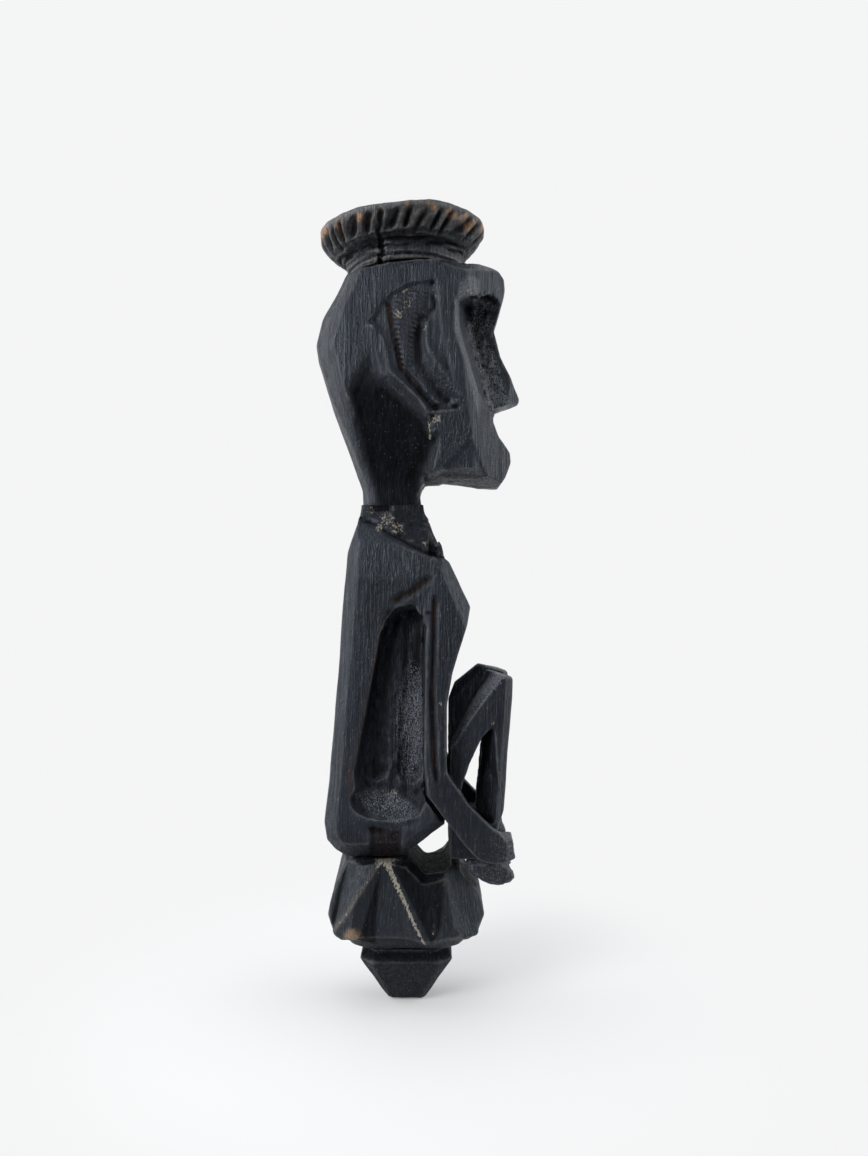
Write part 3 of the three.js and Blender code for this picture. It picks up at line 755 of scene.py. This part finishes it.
def head_paint(skin, masks):
    cheek = skin.side > 9.0
    masks["brown"] += 0.6 * stroke(skin, OUTER_SLOT[:5], 0.7) * cheek
    # Painted shade in the valley of the ear.
    masks["grime_and_shade"] += 0.4 * stroke(skin, VALLEY, 1.6) * cheek
    for points, width, strength in CHIPPED_LINES:
        masks["pale"] += strength * stroke(skin, points, width) * (skin.x < -8.0)
    for f, z, radius, strength in CHIPPED_SPOTS:
        masks["pale"] += strength * dab(skin, f, z, radius)
    for f, z, radius in EYE_CHIPS:
        masks["pale"] += 0.5 * dab(skin, f, z, radius, x=-8.0, reach=7.0)
    masks["pale"] += 0.13 * patch(skin, HATCHED, 0.5, -0.8) * cheek

    # The corner between the rim of the face and the nose is darkened with painted shade, more so
    # deeper in, and gritty with broken grain painted with bluish sparkle. The nose gets painted sparkle
    # too.
    corner = area(skin.f, skin.z, EYE_CORNER + [(21.8, 146), (20.6, 160), (22.5, 171)])
    inner = step(0.5, -1.0, corner) * (skin.side < 12.0)
    far_in = 0.45 + 0.55 * step(17.6, 16.4, skin.f - 0.22 * (156.0 - skin.z))
    masks["grime_and_shade"] *= 1.0 - 0.5 * step(0.5, -1.0, corner)
    masks["grime_and_shade"] += 0.35 * step(0.8, -0.6, corner) * far_in * (skin.side < 12.0)
    masks["brown"] += 0.25 * inner
    masks["pale"] += 0.17 * inner
    masks["grit_sparkle"] += 0.4 * inner
    masks["grit_sparkle"] += 0.75 * patch(skin, NOSE, 0.8, -0.8)

    # The facet along the rim of the face is painted lighter with edge colour and sparkle, and the strip
    # along the back of the skull with edge colour: painted highlights.
    rim = line(skin.f, skin.z, FACE_RIM)
    masks["wear_and_highlight"] += 1.1 * step(3.7, 2.8, rim) * (skin.side > 11.0)
    masks["grit_sparkle"] += 0.3 * step(3.7, 2.8, rim) * (skin.side > 11.0)
    masks["wear_and_highlight"] += 0.3 * step(3.6, 2.6, line(skin.f, skin.z, SKULL_BACK)) * (skin.z < 178.0)
    masks["wear_and_highlight"] *= step(121.6, 124.0, skin.z)
    # Behind and below the ear, where the side falls away towards the neck, the wood is painted dark:
    # painted shade.
    behind = patch(skin, BEHIND_EAR, 0.6, -3.2) * step(158.0, 144.0, skin.z)
    masks["grime_and_shade"] += 1.25 * behind * (skin.side > 4.0)


# ---- the torso and the arms ---------------------------------------------------------------------


def shared_shoulder_cuts(wood):
    """The closed seam, the collar step and the groove behind the upper arm, which torso and arm
    share."""
    outer = step(7.0, 8.6, wood.side)
    seam = line(wood.f, wood.z, SHOULDER_SEAM)
    surface = SHOULDER_SURFACE - COLLAR_FALL * np.maximum(wood.z - SHOULDER_TOP, 0.0)
    wood.add(np.maximum(np.maximum(seam - 0.9, 9.0 - wood.side), wood.side - surface), 0.1)
    wood.sink(0.7 * patch(wood, COLLAR_SLOPE, 0.1, -0.35) * outer)
    wood.sink(0.75 * stroke(wood, COLLAR_LINE, 0.6) * outer)
    wood.sink(0.7 * stroke(wood, SHOULDER_GROOVE, 1.1) * step(11.5, 13.0, wood.side))


def shared_shoulder_crust(skin):
    """Broken wood on the slope between collar line and neck."""
    slope = patch(skin, COLLAR_SLOPE, 0.6, -0.8) * step(120.4, 117.0, skin.z) * step(8.0, 5.0, skin.f)
    return 0.38 * rough(skin.places / (1.7, 1.7, 1.5), 71) * slope


def shared_shoulder_paint(skin, masks):
    masks["wear_and_highlight"] *= step(120.6, 118.6, skin.z)
    groove = stroke(skin, SHOULDER_GROOVE, 1.4) * (skin.side > 11.0)
    # Painted shade in the shoulder groove, along the collar line and on the front of the collar slope under
    # the jaw; the groove's brown is stain.
    masks["grime_and_shade"] += 0.5 * groove
    masks["brown"] += 0.4 * groove
    masks["grime_and_shade"] += stroke(skin, COLLAR_LINE, 0.5) * (skin.side > 8.0)
    masks["grime_and_shade"] += 0.6 * patch(skin, COLLAR_SLOPE, 0.2, -0.6) * (skin.f > -3.0)
    for f, z, radius in COLLAR_CHIPS:
        masks["pale"] += 0.62 * dab(skin, f, z, radius, x=-10.0, reach=7.0)


# The hollow in the flank and what lies in and below it, as (f, z).
POCKET = [(2, 98.6), (-4.6, 96.6), (-8.2, 80.5), (-12.4, 58), (-12, 50), (-2.5, 45.6), (4.6, 52), (4.6, 90)]
POCKET_WALL = [
    (-4.0, 96.8), (-5.5, 92.3), (-6.9, 85.5), (-8.5, 77), (-10.6, 67.4), (-12.7, 59.2), (-13.2, 53),
]
POCKET_CRUMBS = [(2, 98), (-5, 95), (-12, 58), (-11, 48), (3, 46), (5, 60)]
POCKET_GRIT = [(0.8, 86), (3.6, 82), (4.4, 60), (2.6, 55), (-1.6, 56), (-2.2, 72)]
POCKET_TOP = [(2.8, 95), (4.8, 93), (4.8, 80), (1.2, 81)]
LEDGE = [(-12.6, 53), (-8, 47.4), (-2, 46.2), (3.6, 48.6), (-3.0, 53.6)]
LOWER_FLAT = [(-8.2, 45.4), (-0.8, 44.8), (-1.4, 36), (-8.6, 36)]
LOWER_STAIN = [(-8.2, 45.0), (-0.8, 44.4), (-1.4, 36), (-8.6, 36)]


def carve_torso():
    wood = Carving("torso", 0.4)
    shared_shoulder_cuts(wood)
    for side in (-1, 1):
        # Two upright hollows side by side inside the flank, and the scooped ledge below them.
        wood.cut(wood.capsule((side * 13.4, 1.6, 93), (side * 13.0, 1.0, 58), 3.2, 4.0), 0.3)
        wood.cut(wood.capsule((side * 14.0, -3.6, 90), (side * 13.4, -7.0, 58), 2.4, 4.0), 0.3)
        wood.cut(wood.ball((side * 15.4, -5.0, 51.6), (4.4, 7.6, 4.2)), 0.6)
        wood.cut(wood.capsule((side * 16.6, -8, 45.2), (side * 16.8, 2.2, 46.6), 1.5, 1.3), 0.8)
    wood.reach(120.4, 1.4, up=True)
    wood.sink(0.65 * patch(wood, LOWER_FLAT, 0.3, -0.4) * step(10.0, 12.0, wood.side))
    return wood


def torso_extra(skin):
    inner = patch(skin, POCKET_CRUMBS, 0.5, -1.5) * step(15.6, 13.0, skin.side) * (skin.side > 7.0)
    return shared_shoulder_crust(skin) + 0.2 * rough(skin.places / (1.1, 1.1, 1.8), 82) * inner


def torso_paint(skin, masks):
    shared_shoulder_paint(skin, masks)
    outer = skin.side > 7.0
    inner = patch(skin, POCKET, 0.6, -1.2) * outer
    fading = 0.3 + 0.6 * bump(skin.z - 71.0, 15.0)
    # Bluish sparkle is painted in the hollow and on the ledge below it: painted highlights.
    masks["grit_sparkle"] += patch(skin, POCKET_GRIT, 1.6, -2.2) * fading * inner
    masks["grit_sparkle"] += 0.38 * patch(skin, LEDGE, 0.8, -1.0) * outer
    # Painted shade at the top and along the wall of the hollow, and in the gap beside the arm.
    masks["grime_and_shade"] += 0.9 * patch(skin, POCKET_TOP, 0.7, -0.7) * inner
    masks["grime_and_shade"] += 1.1 * stroke(skin, POCKET_WALL, 2.6) * inner
    masks["grime_and_shade"] += bump(line(skin.f, skin.z, ARM_GROOVE) + 1.0, 1.9) * (skin.side < 15.0)
    masks["brown"] += 0.6 * stroke(skin, POCKET_WALL, 0.9) * (skin.side > 8.0) * (1.0 - inner)
    masks["pale"] += 0.7 * dab(skin, -3.1, 52.2, 1.5)
    masks["grime_and_shade"] += 0.75 * patch(skin, LOWER_STAIN, 0.3, -0.3) * (skin.side > 9.0)
    masks["brown"] += 0.2 * patch(skin, LOWER_STAIN, 0.4, -0.4) * (skin.side > 9.0)


ARM_BACK = [(4.8, 98), (4.6, 80), (4.7, 59), (5.4, 52.6)]
FINGER_LEVELS = (38.5, 39.7, 40.9)


def carve_arm(name, side):
    wood = Carving(name, 0.34)
    # The arm grows in to meet the flank, and its back edge closes the gap to the torso.
    wood.widen(-side, 2, wood.z > 58.0)
    shared_shoulder_cuts(wood)
    behind = line(wood.f, wood.z, ARM_BACK)
    wood.add(np.maximum(np.maximum(behind - 0.6, 10.2 - wood.side), wood.side - 14.2), 0.1)
    outer = step(13.0, 14.6, wood.side) * step(100.5, 97.0, wood.z) * step(55.0, 58.0, wood.z)
    wood.sink(0.75 * stroke(wood, ARM_GROOVE, 1.0) * outer)
    # Fingers, bent round the front of the shin.
    for level in FINGER_LEVELS:
        wood.sink(0.5 * bump(wood.z - level - 0.05 * (wood.f - 24.0), 0.5) * step(22.4, 23.6, wood.f))
    wood.cut(wood.capsule((side * 17.6, 20.5, 46.5), (side * 15.4, 25.0, 40.5), 1.8), 0.8)
    return wood


def arm_paint(skin, masks):
    shared_shoulder_paint(skin, masks)
    groove = stroke(skin, ARM_GROOVE, 0.8) * (skin.side > 13.0)
    broken = step(-0.2, 0.5, np.sin(skin.z * 0.42) + 0.4 * np.sin(skin.z * 1.3))
    # Painted shade in the arm's groove, with broken rust-brown stain.
    masks["grime_and_shade"] += 0.75 * groove
    masks["brown"] += 0.45 * groove * broken
    masks["pale"] += 0.6 * dab(skin, 8.2, 74.4, 0.8)
    # The hand gets a little bluish sparkle, a painted highlight, and a few cream flecks.
    hand = step(17.0, 22.0, skin.f) * step(48.0, 44.0, skin.z)
    masks["grit_sparkle"] += 0.14 * hand
    masks["pale"] += 0.12 * hand


# ---- legs and feet ------------------------------------------------------------------------------

THIGH_EDGE = [(10.4, 64), (15, 72.5), (22.4, 81)]


def carve_leg(name, side):
    wood = Carving(name, 0.34)
    wood.sink(0.1)
    wood.cut(wood.capsule((side * 3.2, 10, 74), (side * 3.2, 24, 88), 1.4), 0.6)
    wood.reach(37.0, 0.5, up=False)
    return wood


def leg_extra(skin):
    inside = step(23.0, 20.0, skin.f) * (skin.z < 66.0)
    return 0.12 * rough(skin.places / (1.2, 1.2, 2.4), 93) * inside


def leg_paint(skin, masks):
    masks["pale"] += 0.6 * dab(skin, 20.9, 69.4, 0.9, x=-10.0)
    # The edge of the thigh is painted lighter with edge colour and sparkle: a painted highlight.
    masks["grit_sparkle"] += stroke(skin, THIGH_EDGE, 2.4) * (skin.side > 7.0)
    masks["wear_and_highlight"] += 0.8 * stroke(skin, THIGH_EDGE, 0.9) * (skin.side > 7.0)
    # The lower legs behind the hands are painted darker: painted shade.
    masks["grime_and_shade"] += 0.5 * (skin.z < 47.0) * (skin.f < 21.0)


TOE_GAPS = (4.6, 6.6, 8.6)


def carve_foot(name):
    wood = Carving(name, 0.34)
    for at in TOE_GAPS:
        wood.sink(0.42 * bump(wood.side - at, 0.55) * step(21.5, 24.0, wood.f))
    wood.sink(0.35 * bump(wood.z - 35.2, 0.9) * step(20.0, 22.0, wood.f))
    return wood


def foot_extra(skin):
    return 0.25 * rough(skin.places / 1.8, 95)


def foot_paint(skin, masks):
    # Bluish sparkle is painted all over, a painted highlight, with a few cream flecks.
    masks["grit_sparkle"] += 0.16
    masks["pale"] += 0.12


# ---- stool and knob -----------------------------------------------------------------------------

# The ridges, the crack and the facets painted darker as shade on the right and left, as (f, z).
SIDE_RIDGES = [
    [(-5.6, 37), (-16.8, 20.2)],
    [(-4.8, 37), (5.2, 16.2)],
    [(10.6, 37), (6.6, 22.4), (6.2, 15)],
    [(17.6, 30), (18.4, 18)],
]
CRACK = [(-14.0, 37), (-17.6, 21)]
SHADED_FACETS = [
    [(-6, 35), (-11.6, 17.6), (-7, 16)],
    [(-3.4, 36), (6.4, 17), (8.6, 22), (9.4, 35)],
]
# The ridges on the front and back, as (x, z).
END_RIDGES = [
    [(-10.5, 34), (-6.0, 16)],
    [(0.0, 37), (-5.0, 16)],
    [(0.5, 37), (5.5, 16)],
    [(10.5, 34), (6.5, 16)],
]


def hollowed(u, v, ridges):
    """0 on the nearest ridge, rising to 1 in the hollows between ridges."""
    nearest = line(u, v, ridges[0])
    for ridge in ridges[1:]:
        nearest = np.minimum(nearest, line(u, v, ridge))
    return 1.0 - np.exp(-((nearest / 2.6) ** 1.5))


def carve_stool():
    wood = Carving("stool", 0.4)
    on_side = step(9.0, 11.5, wood.side)
    wood.sink(1.35 * hollowed(wood.f, wood.z, SIDE_RIDGES) * on_side)
    on_end = step(12.0, 15.0, np.abs(wood.f)) * (1.0 - on_side)
    wood.sink(1.2 * hollowed(wood.x, wood.z, END_RIDGES) * on_end)
    wood.sink(1.3 * stroke(wood, CRACK, 0.9) * on_side)
    for f in (-11.5, -1.5, 13.0):
        for side in (-1, 1):
            wood.cut(wood.ball((side * 15.4, f, 13.2), (5.0, 4.6, 4.4)), 0.8)
    for x in (-5.0, 5.0):
        for end in (-1, 1):
            wood.cut(wood.ball((x, end * 18.0, 12.8), (4.6, 5.0, 4.6)), 0.8)
    return wood


def stool_paint(skin, masks):
    on_side = skin.side > 9.0
    right = skin.x < -9.0
    rusty_ridge, cream_ridge = SIDE_RIDGES[:2]
    # The first ridge carries a painted highlight in the edge colour; its cream and rust-brown are the
    # wood's own.
    masks["wear_and_highlight"] += 0.9 * stroke(skin, rusty_ridge, 0.7) * on_side
    masks["pale"] += 0.45 * stroke(skin, rusty_ridge, 0.4) * right
    masks["brown"] += 0.5 * stroke(skin, rusty_ridge, 0.9) * right
    # The cream line widens upwards, to a blot at the top of the ridge.
    cream = bump(line(skin.f, skin.z, cream_ridge), 0.45 + 0.025 * (skin.z - 16.0))
    masks["pale"] += 2.0 * cream * right * step(16.0, 18.0, skin.z)
    blot = segment(skin.f, skin.z, (-6.4, 36.6), (-2.8, 36.8))
    masks["pale"] += 0.8 * (1.0 - step(0.4, 1.8, blot)) * right
    masks["pale"] += 0.8 * dab(skin, 6.6, 20.6, 0.6)
    masks["bare"] += 0.75 * dab(skin, -12.4, 19.2, 2.8)
    masks["grime_and_shade"] += stroke(skin, CRACK, 1.0) * on_side
    # Painted shade on the top, under the figure.
    masks["grime_and_shade"] += step(33.0, 35.4, skin.z) * (skin.f > -1.0)
    masks["grime_and_shade"] += step(9.6, 7.6, skin.side) * (skin.z > 22.0) * (np.abs(skin.f) < 13.0)
    # Facets turned from the light are painted darker: painted shade.
    for facet in SHADED_FACETS:
        masks["grime_and_shade"] += 0.9 * patch(skin, facet, 0.2, -0.5) * on_side


def carve_knob():
    wood = Carving("base_knob", 0.4)
    wood.sink(0.15)
    for side in (-1, 1):
        wood.cut(wood.ball((side * 13.2, 0, 14.6), (4.4, 8.6, 4.2)), 0.8)
    wood.reach(13.6, 0.5, up=True)
    return wood


def knob_paint(skin, masks):
    # The knob is painted darker, most of all at the top under the stool: painted shade.
    masks["grime_and_shade"] += 0.6 + 0.4 * step(10.0, 13.0, skin.z)


# ---- the pieces ---------------------------------------------------------------------------------


def place(name, carving, material, slot, **more):
    """Makes the piece that takes the place of the CAD node of that name."""
    piece = make_piece("carved_" + name, carving, material, **more)
    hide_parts(name)


place("headdress", carve_headdress(), hat_wood, "hat_stain", marks=0.8, seed=2,
      extra=headdress_extra, paint=headdress_paint)
place("head", carve_head(), body_wood, "black_stain", seed=3, extra=head_extra, paint=head_paint)
place("torso", carve_torso(), body_wood, "black_stain", seed=4, extra=torso_extra, paint=torso_paint)
for label, side in (("right", -1), ("left", 1)):
    place(label + "_arm", carve_arm(label + "_arm", side), body_wood, "black_stain", marks=0.7,
          seed=5, extra=shared_shoulder_crust, paint=arm_paint)
    place(label + "_leg", carve_leg(label + "_leg", side), body_wood, "black_stain", marks=0.6,
          seed=6, extra=leg_extra, paint=leg_paint)
    place(label + "_foot", carve_foot(label + "_foot"), body_wood, "black_stain", marks=0.8,
          seed=7, extra=foot_extra, paint=foot_paint)
place("stool", carve_stool(), stool_wood, "stool_stain", marks=0.8, seed=8, paint=stool_paint)
place("base_knob", carve_knob(), stool_wood, "stool_stain", marks=0.8, seed=9, paint=knob_paint)


# ---- the tent, the lights and the camera --------------------------------------------------------


PAPER_WHITE = (0.91, 0.912, 0.918, 1.0)
# The paper turns from lit to plain white between these distances from the origin, in metres.
SHADOW_REACH = (0.035, 0.1)
FLOOR_RADII = (0.3, 1.5, 12.0)
FLOOR_SIDES = 48


def mixed(nodes, links, amount, first, second):
    """A Mix Shader node's output: first at amount 0, second at 1."""
    made = nodes.new("ShaderNodeMixShader")
    links.new(amount, made.inputs["Fac"])
    links.new(first, made.inputs[1])
    links.new(second, made.inputs[2])
    return made.outputs["Shader"]


def paper():
    """Pale seamless paper that catches the figure's shadow close by and is plain white beyond."""
    material = bpy.data.materials.new("seamless_paper")
    material.use_nodes = True
    nodes = material.node_tree.nodes
    links = material.node_tree.links
    shader = nodes["Principled BSDF"]
    grain = nodes.new("ShaderNodeTexNoise")
    grain.inputs["Scale"].default_value = 90.0
    grain.inputs["Detail"].default_value = 4.0
    tone = ranged(nodes, links, grain.outputs["Fac"], 0.0, 1.0, 0.67, 0.71)
    links.new(tone, shader.inputs["Base Color"])
    shader.inputs["Roughness"].default_value = 0.9
    shader.inputs["Specular IOR Level"].default_value = 0.1
    shader.inputs["Emission Color"].default_value = (0.97, 0.985, 1.0, 1.0)
    shader.inputs["Emission Strength"].default_value = 0.2

    coordinates = nodes.new("ShaderNodeTexCoord")
    parts = nodes.new("ShaderNodeSeparateXYZ")
    links.new(coordinates.outputs["Object"], parts.inputs["Vector"])
    away = nodes.new("ShaderNodeVectorMath")
    away.operation = "LENGTH"
    links.new(coordinates.outputs["Object"], away.inputs[0])
    white = nodes.new("ShaderNodeEmission")
    white.inputs["Color"].default_value = PAPER_WHITE
    far = ranged(nodes, links, away.outputs["Value"], SHADOW_REACH[0], SHADOW_REACH[1], 0.0, 1.0)
    lit = mixed(nodes, links, far, shader.outputs["BSDF"], white.outputs["Emission"])

    # The open side of the tent is in shade as far as the wood's reflections are concerned.
    ray = nodes.new("ShaderNodeLightPath")
    unseen = joined(nodes, links, "SUBTRACT", 1.0, ray.outputs["Is Camera Ray"])
    open_side = ranged(nodes, links, parts.outputs["X"], -0.12, 0.02, 1.0, 0.0)
    dark = nodes.new("ShaderNodeBsdfDiffuse")
    dark.inputs["Color"].default_value = (0.06, 0.06, 0.065, 1.0)
    amount = joined(nodes, links, "MULTIPLY", open_side, unseen)
    shaded = mixed(nodes, links, amount, lit, dark.outputs["BSDF"])
    links.new(shaded, nodes["Material Output"].inputs["Surface"])
    return material


def floor():
    """A wide round floor: a disc and the rings round it."""
    points = [(0.0, 0.0, 0.0)]
    for radius in FLOOR_RADII:
        for n in range(FLOOR_SIDES):
            turn = 2.0 * math.pi * n / FLOOR_SIDES
            points.append((radius * math.cos(turn), radius * math.sin(turn), 0.0))
    faces = [(0, 1 + n, 1 + (n + 1) % FLOOR_SIDES) for n in range(FLOOR_SIDES)]
    for ring in range(len(FLOOR_RADII) - 1):
        inner = 1 + ring * FLOOR_SIDES
        outer = inner + FLOOR_SIDES
        for n in range(FLOOR_SIDES):
            after = (n + 1) % FLOOR_SIDES
            faces.append((inner + n, outer + n, outer + after, inner + after))
    mesh = bpy.data.meshes.new("paper_floor")
    mesh.from_pydata(points, [], faces)
    mesh.materials.append(paper())
    made = bpy.data.objects.new("paper_floor", mesh)
    bpy.context.scene.collection.objects.link(made)


def softbox(name, at, aim, size, watts):
    """An area light at a point, turned to aim, with its size in mm."""
    light = bpy.data.lights.new(name, "AREA")
    light.shape = "RECTANGLE"
    light.size = size[0] * MM
    light.size_y = size[1] * MM
    light.energy = watts
    made = bpy.data.objects.new(name, light)
    made.location = [v * MM for v in at]
    made.rotation_euler = (Vector(aim) - Vector(at)).to_track_quat("-Z", "Y").to_euler()
    bpy.context.scene.collection.objects.link(made)


def tent_glow(tree):
    """A white tent all round that is open, so dark, on the side the figure's right hand is on.
    Seen directly it is plain paper white everywhere."""
    nodes, links = tree.nodes, tree.links
    glow = nodes["Background"]
    direction = nodes.new("ShaderNodeTexCoord")
    parts = nodes.new("ShaderNodeSeparateXYZ")
    links.new(direction.outputs["Generated"], parts.inputs["Vector"])
    closed = ranged(nodes, links, parts.outputs["X"], -0.95, 0.5, 0.12, 0.7)
    glow.inputs["Color"].default_value = (0.96, 0.98, 1.0, 1.0)
    links.new(closed, glow.inputs["Strength"])
    seen = nodes.new("ShaderNodeBackground")
    seen.inputs["Color"].default_value = PAPER_WHITE
    ray = nodes.new("ShaderNodeLightPath")
    direct = ray.outputs["Is Camera Ray"]
    shown = mixed(nodes, links, direct, glow.outputs["Background"], seen.outputs["Background"])
    links.new(shown, nodes["World Output"].inputs["Surface"])


floor()

world = bpy.data.worlds.new("tent")
bpy.context.scene.world = world
world.use_nodes = True
tent_glow(world.node_tree)

softbox("tent_roof", (40, 0, 620), (0, 0, 100), (620, 700), 0.85)
softbox("tent_back_side", (60, 520, 260), (0, 0, 120), (420, 520), 1.0)
softbox("tent_face_side", (-40, -520, 230), (0, 0, 110), (640, 460), 1.6)
softbox("window", (-330, 330, 260), (0, 0, 110), (240, 300), 1.8)

bpy.context.scene.view_settings.view_transform = "Standard"

# The camera is level and looks along +X, at the figure's right side.
EYE = (-235.0, -6.75, 103.8)
camera_data = bpy.data.cameras.new("camera")
camera_data.sensor_fit = "VERTICAL"
camera_data.sensor_height = 36.0
camera_data.lens = 29.24
camera_data.clip_start = 0.01
camera = bpy.data.objects.new("camera", camera_data)
camera.location = [v * MM for v in EYE]
camera.rotation_euler = (math.radians(90), 0.0, math.radians(-90))
bpy.context.scene.collection.objects.link(camera)
bpy.context.scene.camera = camera
